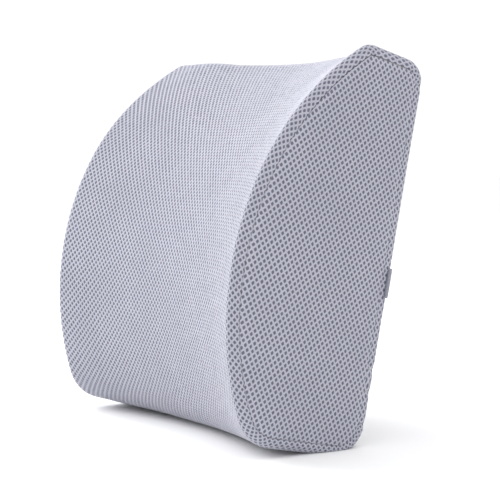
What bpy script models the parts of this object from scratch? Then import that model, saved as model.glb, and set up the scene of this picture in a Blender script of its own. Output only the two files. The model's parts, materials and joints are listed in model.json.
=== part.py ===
"""Lumbar support cushion: a moulded foam core with a gel pad, in a zipped mesh cover with a chair strap.

Metres, +Z up, X across the width, the user's side at -Y. The cushion stands on its underside and leans
back, as it does against a chair. The origin is at the bottom centre of its bounding box.

The cushion has a frame of its own: U points out of its flat back, V runs up the back, and both start
where the back and the underside would meet if that edge weren't rounded. Everything on the back hangs
on the empty back_frame, whose Y and Z are U and V.
"""

import math

import bmesh
import bpy
from mathutils import Matrix, Vector

# The cushion's outside, seen from the side and across its width.
LEAN = math.radians(11.58)
SQUASH = 0.005  # how much of the rounded bottom edge its own weight presses flat
HEIGHT = 0.343  # up the back, to the peak of a wing
DEPTH = 0.1565  # from the back to the crest of a wing
CREST_HALF = 0.1482  # from the middle to the crest of a wing
EDGE_OUT = 0.0080  # how far the side face stands outside the crest
FRONT_RADIUS = 0.257
BULGE_LEVEL = 0.143
HOLLOW = 0.0288  # how far the middle of the front lies behind the crests
TOP_DIP = 0.003  # how far the middle of the top edge lies below the wings
TOP_SLOPE = math.radians(5)
TOP_PEAK = Vector((-0.0650, HEIGHT))
BACK_BOTTOM_RADIUS = 0.030
FRONT_BOTTOM_RADIUS = 0.039
FRONT_TOP_RADIUS = 0.017
BACK_TOP_RADIUS = 0.020
FRONT_ROLL = 0.0085  # how far the front fabric rolls over onto the side face
BACK_ROLL = 0.009

# Fabric and gel.
GAP = 0.0004
COVER = 0.003
PAD = 0.0025
PAD_HALF_WIDTH = 0.112
PAD_MIDDLE, PAD_HALF_SPAN = 0.5, 0.36  # as shares of the front arc
ROUND_POWER = 8  # with a pull of 1 / (power + 1), a square's corners come out round

# Zipper, across the lower back.
ZIP_LEVEL = 0.067
ZIP_SLOT_HALF = 0.010
COIL_HALF_LENGTH = 0.134
COIL_WIDTH = 0.0024
COIL_LOW, COIL_HIGH = -0.0005, 0.0015
COIL_ROUNDING = 0.0006
STOP_LENGTH = 0.003
STOP_HALF_WIDTH = 0.003
METAL_ROUNDING = 0.0004
TAPE_HALF_LENGTH = 0.1420
TAPE_LOW, TAPE_HIGH = -0.0017, -0.0009
SLIDER_X = 0.126
SLIDER_LENGTH = 0.010
SLIDER_HALF_WIDTH = 0.0043
SLIDER_WALL = 0.0011
PLATE_LOW, PLATE_HIGH = 0.0019, 0.0029
ARCH_OUTER, ARCH_INNER = 0.0027, 0.0013
ARCH_WIDTH = 0.002
TAB_AXIS = 0.0046
TAB_LENGTH = 0.024
TAB_HALF_WIDTH = 0.0042
TAB_THICK = 0.0016
TAB_OVERHANG = 0.0009  # from its hinge line to its near end, and to its window
TAB_WINDOW_END = 0.0040
TAB_WINDOW_HALF = 0.0016
TAB_ROUNDING = 0.0003

# Chair strap and its side-release buckle.
STRAP_LEVEL = 0.150
STRAP_WIDTH = 0.025
STRAP_THICK = 0.0015
STRAP_LIE = 0.0011  # height of the middle of the fabric where it lies on the back
STRAP_UPPER = 0.0031  # the same for the layer on top of it
STRAP_RISE = 0.0003
LEFT_END_X, RIGHT_END_X = -0.062, 0.064
LOOP_START = 0.046
LOOP_SPREAD = 0.0025
PLUG_CLEARANCE = 0.0145
TAIL_LENGTH = 0.018
BAR_OUT = 0.0060
BAR_HALF = 0.0015
LOOP_RADIUS = BAR_HALF * math.sqrt(2) + STRAP_THICK / 2 + GAP  # clears the bar's corners
SOCKET_BAR_X = -0.031
PLUG_BAR_X = 0.0215
BUCKLE_LOW, BUCKLE_HIGH = 0.0006, 0.0114
SOCKET_HALF = 0.017
SOCKET_WALL = 0.0028
SOCKET_SKIN = 0.0024
SOCKET_FLOOR_X = -0.0225
THUMB_START_X, THUMB_END_X = -0.0190, -0.0050
THUMB_SKIN = 0.0016
WINDOW_LENGTH = 0.0032
PLUG_HALF = 0.0165
ARM_REACH = (0.0036, 0.0084)
TONGUE_REACH = (0.0044, 0.0076)
TONGUE_TIP_X, TONGUE_TIP_HALF, TONGUE_ROOT_HALF = -0.0135, 0.0016, 0.0022
MOUTH_X = 0.008
ADJUSTER_X = 0.071
ADJUSTER_HALF = 0.0115
ADJUSTER_LOW, ADJUSTER_HIGH = 0.0060, 0.0084
ADJUSTER_RAIL = 0.003
GRIP_BAR_HALF, GRIP_BAR_REACH = 0.0015, 0.0030
SLOT_OUTER, SLOT_END = 0.0085, 0.0090
PLASTIC_ROUNDING = 0.0005
PAST = 0.002  # how far a cutter runs past what it cuts

# How finely the outline is divided: (arc or line, which one, steps). The arcs are the rounded bottom
# back edge, the bottom front edge, the front, the top front edge and the top back edge. Line k joins
# arc k to the next.
SHELL_PLAN = (
    ("arc", 0, 8),
    ("line", 0, 5),
    ("arc", 1, 4),
    ("arc", 2, 14),
    ("arc", 3, 4),
    ("line", 3, 3),
    ("arc", 4, 5),
)
WHOLE_PLAN = SHELL_PLAN + (("line", 4, 6),)
ACROSS_STEPS = 10
ROLL_STEPS = 4


def direction(angle):
    return Vector((math.cos(angle), math.sin(angle)))


def ramp(value, start, end):
    """0 up to start, 1 from end on, and smooth between."""
    share = min(max((value - start) / (end - start), 0.0), 1.0)
    return share * share * (3 - 2 * share)


def outline_arcs(hollow):
    """The arcs of the outline as (centre, radius, start, end), the angles being those of the outward
    normal, which turns from the back under the cushion to the front and over the top."""
    middle = Vector((FRONT_RADIUS - DEPTH + hollow, BULGE_LEVEL))
    top = math.pi / 2 - TOP_SLOPE
    top_normal = direction(top)
    top_offset = top_normal.dot(TOP_PEAK)
    low_reach = FRONT_RADIUS - FRONT_BOTTOM_RADIUS
    high_reach = FRONT_RADIUS - FRONT_TOP_RADIUS
    low = -math.pi / 2 - math.acos((middle.y - FRONT_BOTTOM_RADIUS) / low_reach)
    off_top = top_offset - FRONT_TOP_RADIUS - top_normal.dot(middle)
    high = top + math.acos(off_top / high_reach) - math.tau
    back_top_level = top_offset - BACK_TOP_RADIUS + top_normal.x * BACK_TOP_RADIUS
    back_top = Vector((-BACK_TOP_RADIUS, back_top_level / top_normal.y))
    back_bottom = Vector((-BACK_BOTTOM_RADIUS, BACK_BOTTOM_RADIUS))
    return (
        (back_bottom, BACK_BOTTOM_RADIUS, 0.0, -math.pi / 2),
        (middle + direction(low) * low_reach, FRONT_BOTTOM_RADIUS, -math.pi / 2, low),
        (middle, FRONT_RADIUS, low, high),
        (middle + direction(high) * high_reach, FRONT_TOP_RADIUS, high, top - math.tau),
        (back_top, BACK_TOP_RADIUS, top - math.tau, -math.tau),
    )


def on_outline(station, hollow):
    """The outline's point and outward normal at a station, which is (arc or line, which one, share)."""
    kind, which, share = station
    arcs = outline_arcs(hollow)
    centre, radius, start, end = arcs[which]
    if kind == "arc":
        normal = direction(start + (end - start) * share)
        return centre + normal * radius, normal
    normal = direction(end)
    next_centre, next_radius, next_start, _ = arcs[(which + 1) % len(arcs)]
    goal = next_centre + direction(next_start) * next_radius
    return (centre + normal * radius).lerp(goal, share), normal


def stations(plan):
    """The stations of a plan, each piece without its last point, and the very last one added."""
    found = [
        (kind, which, step / steps) for kind, which, steps in plan for step in range(steps)
    ]
    return found + [(plan[-1][0], plan[-1][1], 1.0)]


def back_share(level):
    """The share of the back line, which runs down from the top edge, at this height up the back."""
    arcs = outline_arcs(0.0)
    top, bottom = arcs[4][0].y, arcs[0][0].y
    return (top - level) / (top - bottom)


def lean_point(x, u, v):
    """World point, with Y still measured from where the back meets the underside."""
    y = u * math.cos(LEAN) + v * math.sin(LEAN)
    drop = BACK_BOTTOM_RADIUS * (1 - math.sin(LEAN) - math.cos(LEAN)) - SQUASH
    return Vector((x, y, drop - u * math.sin(LEAN) + v * math.cos(LEAN)))


def y_shift():
    """Puts the middle of the bounding box at Y = 0."""
    arcs = outline_arcs(0.0)
    front = lean_point(0, *arcs[2][0]).y - FRONT_RADIUS
    back = lean_point(0, *arcs[4][0]).y + BACK_TOP_RADIUS
    return -(front + back) / 2


SHIFT = Vector((0, y_shift(), 0))


def roll_reach(normal):
    """How far the fabric rolls over onto the side face, where the outline has this outward normal."""
    return BACK_ROLL + (FRONT_ROLL - BACK_ROLL) * ramp(-normal.x, 0.0, 0.6)


def skin_point(station, column, inset):
    """A point of the cushion's surface, moved in by inset. A column is (x, roll), where roll turns from
    0 at the crest to a quarter turn where the fabric has rolled over onto the side face."""
    x, roll = column
    level = 1 - (x / CREST_HALF) ** 2
    point, normal = on_outline(station, HOLLOW * level)
    point = point - normal * (inset + (roll_reach(normal) - inset) * (1 - math.cos(roll)))
    near_top = ramp(point.y, 0.75 * HEIGHT, HEIGHT) * ramp(-point.x, 0.0, 0.05)
    out = (EDGE_OUT - inset) * math.sin(roll)
    placed = lean_point(x + math.copysign(out, x), point.x, point.y - TOP_DIP * level * near_top)
    placed.z = max(placed.z, inset * math.cos(roll))
    return placed + SHIFT


def across(first, last, steps=ACROSS_STEPS):
    return [(first + (last - first) * step / steps, 0.0) for step in range(steps + 1)]


def rolled(x):
    """The columns beyond a crest, from the crest outwards."""
    return [(x, math.pi / 2 * step / ROLL_STEPS) for step in range(1, ROLL_STEPS + 1)]


ALL_COLUMNS = rolled(-CREST_HALF)[::-1] + across(-CREST_HALF, CREST_HALF) + rolled(CREST_HALF)


def material(name, colour, roughness, metallic=0.0):
    made = bpy.data.materials.new(name)
    made.use_nodes = True
    shader = made.node_tree.nodes["Principled BSDF"]
    shader.inputs["Base Color"].default_value = (*colour, 1.0)
    shader.inputs["Roughness"].default_value = roughness
    shader.inputs["Metallic"].default_value = metallic
    return made


def add_object(name, mesh_edit, look=None, parent=None):
    """Makes a linked object from a bmesh and frees the bmesh."""
    mesh = bpy.data.meshes.new(name)
    mesh_edit.to_mesh(mesh)
    mesh_edit.free()
    mesh.shade_smooth()
    mesh.set_sharp_from_angle(angle=math.radians(35))
    made = bpy.data.objects.new(name, mesh)
    bpy.context.scene.collection.objects.link(made)
    made.parent = parent
    if look:
        mesh.materials.append(look)
    else:
        made.hide_render = True
        made.display_type = "WIRE"
    return made


def fill_grid(mesh_edit, rows, loops=False):
    """Joins rows of points with quads whose normals point out of the cushion."""
    made = [[mesh_edit.verts.new(point) for point in row] for row in rows]
    if loops:
        made.append(made[0])
    for low, high in zip(made, made[1:]):
        for left in range(len(low) - 1):
            mesh_edit.faces.new((low[left], low[left + 1], high[left + 1], high[left]))
    return made


def fill_shell(name, outer, inner, look):
    """A closed shell between two grids of points with as many rows and columns as each other."""
    mesh_edit = bmesh.new()
    outside = fill_grid(mesh_edit, outer)
    inside = fill_grid(mesh_edit, inner)
    rims = [
        grid[0] + [row[-1] for row in grid[1:]] + grid[-1][-2::-1] + [row[0] for row in grid[-2:0:-1]]
        for grid in (outside, inside)
    ]
    for step in range(len(rims[0])):
        after = (step + 1) % len(rims[0])
        mesh_edit.faces.new((rims[0][step], rims[1][step], rims[1][after], rims[0][after]))
    bmesh.ops.recalc_face_normals(mesh_edit, faces=mesh_edit.faces)
    return add_object(name, mesh_edit, look)


def extrude(mesh_edit, face, step):
    """Makes a solid of a flat face by extruding it, with its faces pointing out."""
    grown = bmesh.ops.extrude_face_region(mesh_edit, geom=[face])
    moved = [item for item in grown["geom"] if isinstance(item, bmesh.types.BMVert)]
    bmesh.ops.translate(mesh_edit, verts=moved, vec=step)
    bmesh.ops.recalc_face_normals(mesh_edit, faces=mesh_edit.faces)


def round_edges(made, width, segments=2):
    modifier = made.modifiers.new("Bevel", "BEVEL")
    modifier.width = width
    modifier.segments = segments


def combine(target, other, operation):
    modifier = target.modifiers.new(other.name, "BOOLEAN")
    modifier.operation = operation
    modifier.object = other
    modifier.solver = "EXACT"


def panel(name, plan_stations, columns, look):
    """A piece of the cover, as thick as the fabric, with its outside on the cushion's surface."""
    outer, inner = (
        [[skin_point(station, column, inset) for column in columns] for station in plan_stations]
        for inset in (0.0, COVER)
    )
    fill_shell(name, outer, inner, look)


def side_panel(name, side, look):
    """The flat side face, inside the seam where the rolled fabric ends."""
    outline = []
    for station in stations(WHOLE_PLAN)[:-1]:
        point, normal = on_outline(station, 0.0)
        inner = point - normal * (roll_reach(normal) + GAP)
        outline.append(lean_point(side * (CREST_HALF + EDGE_OUT), inner.x, inner.y) + SHIFT)
    mesh_edit = bmesh.new()
    face = mesh_edit.faces.new([mesh_edit.verts.new(point) for point in outline])
    extrude(mesh_edit, face, (-side * COVER, 0, 0))
    add_object(name, mesh_edit, look)


def pad_slab(name, margin, inset, thickness, look=None):
    """A slab that follows the hollow front, with round corners, its outside inset from the surface."""
    steps = 14
    pull = 1 / (ROUND_POWER + 1)
    span = PAD_HALF_SPAN + margin / FRONT_RADIUS
    shares = [-1 + 2 * step / steps for step in range(steps + 1)]

    def pad_point(along, up, depth):
        x = along * (1 - pull * up**ROUND_POWER) * (PAD_HALF_WIDTH + margin)
        share = PAD_MIDDLE + up * (1 - pull * along**ROUND_POWER) * span
        return skin_point(("arc", 2, share), (x, 0.0), depth)

    outer, inner = (
        [[pad_point(along, up, depth) for along in shares] for up in shares]
        for depth in (inset, inset + thickness)
    )
    return fill_shell(name, outer, inner, look)


def foam_core(look):
    """One moulding, with a shallow pocket that the gel pad lies in."""
    inset = COVER + GAP
    mesh_edit = bmesh.new()
    rows = [[skin_point(s, c, inset) for c in ALL_COLUMNS] for s in stations(WHOLE_PLAN)[:-1]]
    made_rows = fill_grid(mesh_edit, rows, loops=True)[:-1]
    mesh_edit.faces.new([row[0] for row in made_rows])
    mesh_edit.faces.new([row[-1] for row in made_rows][::-1])
    bmesh.ops.recalc_face_normals(mesh_edit, faces=mesh_edit.faces)
    made = add_object("foam_core", mesh_edit, look)
    pocket = pad_slab("pad_pocket_cutter", GAP, inset - 0.002, PAD + 2 * GAP + 0.002)
    combine(made, pocket, "DIFFERENCE")
    return made


def box(name, low, high, look=None, parent=None, origin=(0, 0, 0)):
    """A block between two corners given in the parent's frame, its own origin at a point of that frame."""
    low, high, origin = Vector(low), Vector(high), Vector(origin)
    size = Matrix.Diagonal((*(high - low), 1.0))
    mesh_edit = bmesh.new()
    bmesh.ops.create_cube(mesh_edit, size=1.0, matrix=size)
    bmesh.ops.translate(mesh_edit, verts=mesh_edit.verts, vec=(low + high) / 2 - origin)
    made = add_object(name, mesh_edit, look, parent)
    made.location = origin
    return made


def extruded(name, outline, low, high, look, parent, origin):
    """A flat outline of (x, z) points in the parent's frame, extruded along Y from low to high."""
    mesh_edit = bmesh.new()
    origin = Vector(origin)
    base = [mesh_edit.verts.new(Vector((x, low, z)) - origin) for x, z in outline]
    extrude(mesh_edit, mesh_edit.faces.new(base), (0, high - low, 0))
    made = add_object(name, mesh_edit, look, parent)
    made.location = origin
    return made


def zipper(back_frame):
    tape_look = material("zipper_tape_polyester", (0.42, 0.43, 0.50), 0.85)
    coil_look = material("zipper_coil_nylon", (0.36, 0.37, 0.44), 0.45)
    metal_look = material("zipper_enamelled_zinc", (0.45, 0.46, 0.50), 0.35)
    half = COIL_HALF_LENGTH
    for side, name in ((1, "upper"), (-1, "lower")):
        near, far = GAP / 2, COIL_WIDTH + GAP / 2
        low, high = sorted((ZIP_LEVEL + side * near, ZIP_LEVEL + side * far))
        near_end, far_end = (-half, COIL_LOW, low), (half, COIL_HIGH, high)
        coil = box(f"zipper_{name}_coil", near_end, far_end, coil_look, back_frame)
        round_edges(coil, COIL_ROUNDING)
        far = ZIP_SLOT_HALF - GAP
        low, high = sorted((ZIP_LEVEL + side * near, ZIP_LEVEL + side * far))
        near_end, far_end = (-TAPE_HALF_LENGTH, TAPE_LOW, low), (TAPE_HALF_LENGTH, TAPE_HIGH, high)
        box(f"zipper_{name}_tape", near_end, far_end, tape_look, back_frame)
    for side, name in ((1, "right"), (-1, "left")):
        low, high = sorted((side * (half + GAP), side * (half + STOP_LENGTH)))
        stop = box(
            f"zipper_{name}_stop",
            (low, COIL_LOW, ZIP_LEVEL - STOP_HALF_WIDTH),
            (high, COIL_HIGH + GAP, ZIP_LEVEL + STOP_HALF_WIDTH),
            metal_look,
            back_frame,
        )
        round_edges(stop, METAL_ROUNDING)
    zipper_slider(back_frame, metal_look)


def zipper_slider(back_frame, look):
    """The slider runs over the coils as a channel, and its arch holds the pull tab."""
    half, wall_in = SLIDER_LENGTH / 2, SLIDER_HALF_WIDTH - SLIDER_WALL
    origin = (SLIDER_X, TAB_AXIS, ZIP_LEVEL)
    slider = box(
        "zipper_slider",
        (SLIDER_X - half, COIL_LOW + 0.0002, ZIP_LEVEL - SLIDER_HALF_WIDTH),
        (SLIDER_X + half, PLATE_HIGH, ZIP_LEVEL + SLIDER_HALF_WIDTH),
        look,
        back_frame,
        origin,
    )
    channel = box(
        "slider_channel_cutter",
        (SLIDER_X - SLIDER_LENGTH, COIL_LOW - 0.001, ZIP_LEVEL - wall_in),
        (SLIDER_X + SLIDER_LENGTH, PLATE_LOW, ZIP_LEVEL + wall_in),
        parent=back_frame,
    )
    combine(slider, channel, "DIFFERENCE")
    steps = 8
    foot = PLATE_LOW + GAP - TAB_AXIS  # the arch's legs are sunk into the plate
    arch = [Vector((ARCH_OUTER, foot))]
    arch += [ARCH_OUTER * direction(math.pi * step / steps) for step in range(steps + 1)]
    arch += [Vector((-ARCH_OUTER, foot)), Vector((-ARCH_INNER, foot))]
    arch += [ARCH_INNER * direction(math.pi * (1 - step / steps)) for step in range(steps + 1)]
    arch += [Vector((ARCH_INNER, foot))]
    mesh_edit = bmesh.new()
    face = mesh_edit.faces.new([mesh_edit.verts.new((p.x, p.y, -ARCH_WIDTH / 2)) for p in arch])
    extrude(mesh_edit, face, (0, 0, ARCH_WIDTH))
    bridge = add_object("slider_arch_helper", mesh_edit, parent=back_frame)
    bridge.location = origin
    combine(slider, bridge, "UNION")
    tab = box(
        "zipper_pull_tab",
        (SLIDER_X - TAB_LENGTH, TAB_AXIS - TAB_THICK / 2, ZIP_LEVEL - TAB_HALF_WIDTH),
        (SLIDER_X + TAB_OVERHANG, TAB_AXIS + TAB_THICK / 2, ZIP_LEVEL + TAB_HALF_WIDTH),
        look,
        back_frame,
        origin,
    )
    window = box(
        "tab_window_cutter",
        (SLIDER_X - TAB_WINDOW_END, TAB_AXIS - TAB_THICK, ZIP_LEVEL - TAB_WINDOW_HALF),
        (SLIDER_X - TAB_OVERHANG, TAB_AXIS + TAB_THICK, ZIP_LEVEL + TAB_WINDOW_HALF),
        parent=back_frame,
    )
    combine(tab, window, "DIFFERENCE")
    round_edges(tab, TAB_ROUNDING, 1)


def ribbon(name, path, look, back_frame, level=STRAP_LEVEL):
    """Webbing that follows a path of (x, out) points across the back, centred on a height up the back."""
    mesh_edit = bmesh.new()
    low = [(x, out, level - STRAP_WIDTH / 2) for x, out in path]
    high = [(x, out, level + STRAP_WIDTH / 2) for x, out in path]
    fill_grid(mesh_edit, [low, high])
    made = add_object(name, mesh_edit, look, back_frame)
    modifier = made.modifiers.new("Solidify", "SOLIDIFY")
    modifier.thickness = STRAP_THICK
    modifier.offset = 0.0
    modifier.use_even_offset = True


def round_bar(bar_x, side):
    """Half a turn round a buckle's bar, from under it to over it, on its left (-1) or right (1)."""
    steps = 8
    turn = [math.pi * (step / steps - 0.5) for step in range(steps + 1)]
    return [
        (bar_x + side * LOOP_RADIUS * math.cos(a), BAR_OUT + LOOP_RADIUS * math.sin(a)) for a in turn
    ]


def over_edge(side):
    """From the side seam round the rolled edge onto the back, just off the cover."""
    steps = 4
    lift = STRAP_LIE
    return [
        (
            side * (CREST_HALF + (EDGE_OUT + lift) * math.sin(turn)),
            -BACK_ROLL + (BACK_ROLL + lift) * math.cos(turn),
        )
        for turn in (math.radians(72) * (1 - step / steps) for step in range(steps + 1))
    ]


def strap(back_frame):
    elastic = material("strap_knitted_elastic", (0.42, 0.43, 0.50), 0.80)
    plastic = material("buckle_moulded_acetal", (0.30, 0.31, 0.36), 0.40)
    left = over_edge(-1) + [(LEFT_END_X, STRAP_LIE), (-LOOP_START, STRAP_LIE + STRAP_RISE)]
    left += round_bar(SOCKET_BAR_X, 1)
    left += [(-LOOP_START, STRAP_UPPER + 3 * STRAP_RISE), (LEFT_END_X, STRAP_UPPER)]
    ribbon("left_strap", left, elastic, back_frame)
    ribbon("right_strap", over_edge(1) + [(RIGHT_END_X, STRAP_LIE)], elastic, back_frame)
    over, under = ADJUSTER_HIGH + STRAP_THICK / 2 + GAP, ADJUSTER_LOW - STRAP_THICK / 2 - GAP
    loop = [(ADJUSTER_X + TAIL_LENGTH, STRAP_UPPER), (PLUG_BAR_X + PLUG_CLEARANCE, STRAP_UPPER)]
    loop += round_bar(PLUG_BAR_X, -1)
    loop += [
        (PLUG_BAR_X + PLUG_CLEARANCE, under + LOOP_SPREAD),
        (ADJUSTER_X - ADJUSTER_HALF - 0.001, under),
        (ADJUSTER_X - SLOT_OUTER, under + STRAP_RISE),
        (ADJUSTER_X - GRIP_BAR_REACH, over),
        (ADJUSTER_X + GRIP_BAR_REACH, over),
        (ADJUSTER_X + SLOT_OUTER, under + STRAP_RISE),
        (ADJUSTER_X + ADJUSTER_HALF + 0.005, under),
    ]
    ribbon("right_strap_loop", loop, elastic, back_frame)
    adjuster(plastic, back_frame)
    buckle_socket(plastic, back_frame)
    buckle_plug(plastic, back_frame)


def adjuster(look, back_frame):
    """A slotted frame whose middle bar grips the strap."""
    slot_height = STRAP_WIDTH / 2 + 0.0005
    height = slot_height + ADJUSTER_RAIL
    frame = box(
        "strap_adjuster",
        (ADJUSTER_X - ADJUSTER_HALF, ADJUSTER_LOW, STRAP_LEVEL - height),
        (ADJUSTER_X + ADJUSTER_HALF, ADJUSTER_HIGH, STRAP_LEVEL + height),
        look,
        back_frame,
    )
    for side in (-1, 1):
        low, high = sorted((ADJUSTER_X + side * GRIP_BAR_HALF, ADJUSTER_X + side * SLOT_END))
        slot = box(
            f"adjuster_slot_cutter_{side}",
            (low, ADJUSTER_LOW - PAST, STRAP_LEVEL - slot_height),
            (high, ADJUSTER_HIGH + PAST, STRAP_LEVEL + slot_height),
            parent=back_frame,
        )
        combine(frame, slot, "DIFFERENCE")
    round_edges(frame, PLASTIC_ROUNDING)


def webbing_window(target, bar_x, side, back_frame):
    """Cuts the window beside a buckle's bar, and thins the bar to its own height."""
    reach = STRAP_WIDTH / 2 + 0.0006
    low, high = sorted((bar_x + side * BAR_HALF, bar_x + side * (BAR_HALF + WINDOW_LENGTH)))
    window = box(
        f"{target.name}_window_cutter",
        (low, BUCKLE_LOW - PAST, STRAP_LEVEL - reach),
        (high, BUCKLE_HIGH + PAST, STRAP_LEVEL + reach),
        parent=back_frame,
    )
    combine(target, window, "DIFFERENCE")
    far = sorted((bar_x - side * 0.006, bar_x + side * (BAR_HALF + 0.001)))
    for name, bottom, top in (
        ("under", BUCKLE_LOW - PAST, BAR_OUT - BAR_HALF),
        ("over", BAR_OUT + BAR_HALF, BUCKLE_HIGH + PAST),
    ):
        relief = box(
            f"{target.name}_{name}_bar_cutter",
            (far[0], bottom, STRAP_LEVEL - reach),
            (far[1], top, STRAP_LEVEL + reach),
            parent=back_frame,
        )
        combine(target, relief, "DIFFERENCE")


def buckle_socket(look, back_frame):
    """The female half: a hollow body open at its mouth and at the two thumb windows."""
    socket = box(
        "buckle_socket",
        (SOCKET_BAR_X - BAR_HALF, BUCKLE_LOW, STRAP_LEVEL - SOCKET_HALF),
        (MOUTH_X, BUCKLE_HIGH, STRAP_LEVEL + SOCKET_HALF),
        look,
        back_frame,
    )
    hollow = box(
        "socket_hollow_cutter",
        (SOCKET_FLOOR_X, BUCKLE_LOW + SOCKET_SKIN, STRAP_LEVEL - SOCKET_HALF + SOCKET_WALL),
        (MOUTH_X + PAST, BUCKLE_HIGH - SOCKET_SKIN, STRAP_LEVEL + SOCKET_HALF - SOCKET_WALL),
        parent=back_frame,
    )
    combine(socket, hollow, "DIFFERENCE")
    windows = box(
        "thumb_window_cutter",
        (THUMB_START_X, BUCKLE_LOW + THUMB_SKIN, STRAP_LEVEL - SOCKET_HALF - PAST),
        (THUMB_END_X, BUCKLE_HIGH - THUMB_SKIN, STRAP_LEVEL + SOCKET_HALF + PAST),
        parent=back_frame,
    )
    combine(socket, windows, "DIFFERENCE")
    webbing_window(socket, SOCKET_BAR_X, 1, back_frame)


def buckle_plug(look, back_frame):
    """The male half: two sprung arms and a guide tongue, on a base with the strap's bar."""
    base = MOUTH_X + GAP
    root = base + 0.002
    origin = (base, BAR_OUT, STRAP_LEVEL)
    plug = box(
        "buckle_plug",
        (base, BUCKLE_LOW, STRAP_LEVEL - PLUG_HALF),
        (PLUG_BAR_X + BAR_HALF, BUCKLE_HIGH, STRAP_LEVEL + PLUG_HALF),
        look,
        back_frame,
        origin,
    )
    webbing_window(plug, PLUG_BAR_X, -1, back_frame)
    half = [(TONGUE_TIP_X, TONGUE_TIP_HALF), (root, TONGUE_ROOT_HALF)]
    # An arm's edge: straight from its root, bowed in, round its hooked tip and back past the thumb pad.
    arm = [(root, 0.0085), (-0.0060, 0.0085), (-0.0160, 0.0075), (-0.0195, 0.0095)]
    arm += [(-0.0178, 0.0132), (-0.0085, 0.0136), (-0.0070, 0.0112), (root, 0.0115)]
    for side in (-1, 1):
        outline = [(x, STRAP_LEVEL + side * z) for x, z in arm]
        limb = extruded(f"plug_arm_helper_{side}", outline, *ARM_REACH, None, back_frame, origin)
        combine(plug, limb, "UNION")
    tongue = [(x, STRAP_LEVEL - z) for x, z in half]
    tongue += [(x, STRAP_LEVEL + z) for x, z in half[::-1]]
    guide = extruded("plug_tongue_helper", tongue, *TONGUE_REACH, None, back_frame, origin)
    combine(plug, guide, "UNION")


def cover():
    """The mesh cover: a long front piece over the top and underneath, two sides and a split back."""
    mesh_look = material("spacer_mesh_lavender_grey", (0.60, 0.61, 0.70), 0.90)
    panel("front_panel", stations(SHELL_PLAN), ALL_COLUMNS, mesh_look)
    seam = GAP / (2 * HEIGHT)
    slot_top = back_share(ZIP_LEVEL + ZIP_SLOT_HALF)
    slot_bottom = back_share(ZIP_LEVEL - ZIP_SLOT_HALF)
    pieces = (
        ("back_upper_panel", seam * 3, slot_top, 6, ALL_COLUMNS),
        ("back_lower_panel", slot_bottom, 1 - seam * 3, 2, ALL_COLUMNS),
        (
            "right_zipper_tab",
            slot_top + seam * 3,
            slot_bottom - seam * 3,
            1,
            across(TAPE_HALF_LENGTH + GAP, CREST_HALF, 1) + rolled(CREST_HALF),
        ),
        (
            "left_zipper_tab",
            slot_top + seam * 3,
            slot_bottom - seam * 3,
            1,
            rolled(-CREST_HALF)[::-1] + across(-CREST_HALF, -TAPE_HALF_LENGTH - GAP, 1),
        ),
    )
    for name, first, last, steps, columns in pieces:
        rows = [("line", 4, first + (last - first) * step / steps) for step in range(steps + 1)]
        panel(name, rows, columns, mesh_look)
    side_panel("left_side_panel", -1, mesh_look)
    side_panel("right_side_panel", 1, mesh_look)


def build():
    for old in list(bpy.data.objects):
        bpy.data.objects.remove(old)
    foam_core(material("memory_foam_white", (0.86, 0.85, 0.82), 0.95))
    pad_slab(
        "gel_pad", 0.0, COVER + 2 * GAP, PAD, material("cooling_gel_blue", (0.0, 0.40, 0.80), 0.25)
    )
    cover()
    back_frame = bpy.data.objects.new("back_frame", None)
    bpy.context.scene.collection.objects.link(back_frame)
    back_frame.location = lean_point(0, 0, 0) + SHIFT
    back_frame.rotation_euler = (-LEAN, 0, 0)
    zipper(back_frame)
    strap(back_frame)


build()
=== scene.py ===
"""The looks of the lumbar support cushion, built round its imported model.

Metres, +Z up, the user's side at -Y. The cover is a knitted spacer mesh, so its pieces are dense grids
whose rows and columns follow the fabric's holes: every hole is a dimple in the mesh itself, and the
material colours it through the same grid, which is the piece's UV map, one unit to a cell of the knit.
"""

import json
import math

import bmesh
import bpy
import numpy as np
from mathutils import Matrix, Vector


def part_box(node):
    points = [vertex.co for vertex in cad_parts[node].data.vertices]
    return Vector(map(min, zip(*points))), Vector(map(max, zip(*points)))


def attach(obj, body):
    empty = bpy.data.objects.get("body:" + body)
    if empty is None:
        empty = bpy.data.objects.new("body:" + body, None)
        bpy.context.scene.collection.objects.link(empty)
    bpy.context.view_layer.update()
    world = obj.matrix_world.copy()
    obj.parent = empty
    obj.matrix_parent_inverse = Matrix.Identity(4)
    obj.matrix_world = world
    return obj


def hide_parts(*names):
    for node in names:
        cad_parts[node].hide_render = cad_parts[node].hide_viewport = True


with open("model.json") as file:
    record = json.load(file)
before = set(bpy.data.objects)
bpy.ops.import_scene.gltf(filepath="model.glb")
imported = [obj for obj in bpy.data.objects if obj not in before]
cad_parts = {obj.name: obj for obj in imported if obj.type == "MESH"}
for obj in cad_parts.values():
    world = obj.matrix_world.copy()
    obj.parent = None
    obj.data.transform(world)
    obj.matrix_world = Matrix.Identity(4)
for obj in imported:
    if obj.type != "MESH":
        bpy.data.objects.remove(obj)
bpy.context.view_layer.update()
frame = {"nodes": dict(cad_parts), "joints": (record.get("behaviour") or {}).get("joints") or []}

# The cushion's own frame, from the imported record: the pull tab's hinge lies along the back, square to
# it, at the height of the zipper. OUT points out of the flat back and UP runs up it.
SWING = next(joint for joint in frame["joints"] if joint["name"] == "pull_tab_swing")
LEAN = math.atan2(-SWING["axis"][1], -SWING["axis"][2])
OUT = np.array([0.0, math.cos(LEAN), -math.sin(LEAN)])
UP = np.array([0.0, math.sin(LEAN), math.cos(LEAN)])
ZIP_LEVEL = 0.067
TAB_AXIS = 0.0046
ORIGIN = np.array([0.0, *SWING["pos_m"][1:]]) - TAB_AXIS * OUT - ZIP_LEVEL * UP

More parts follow.
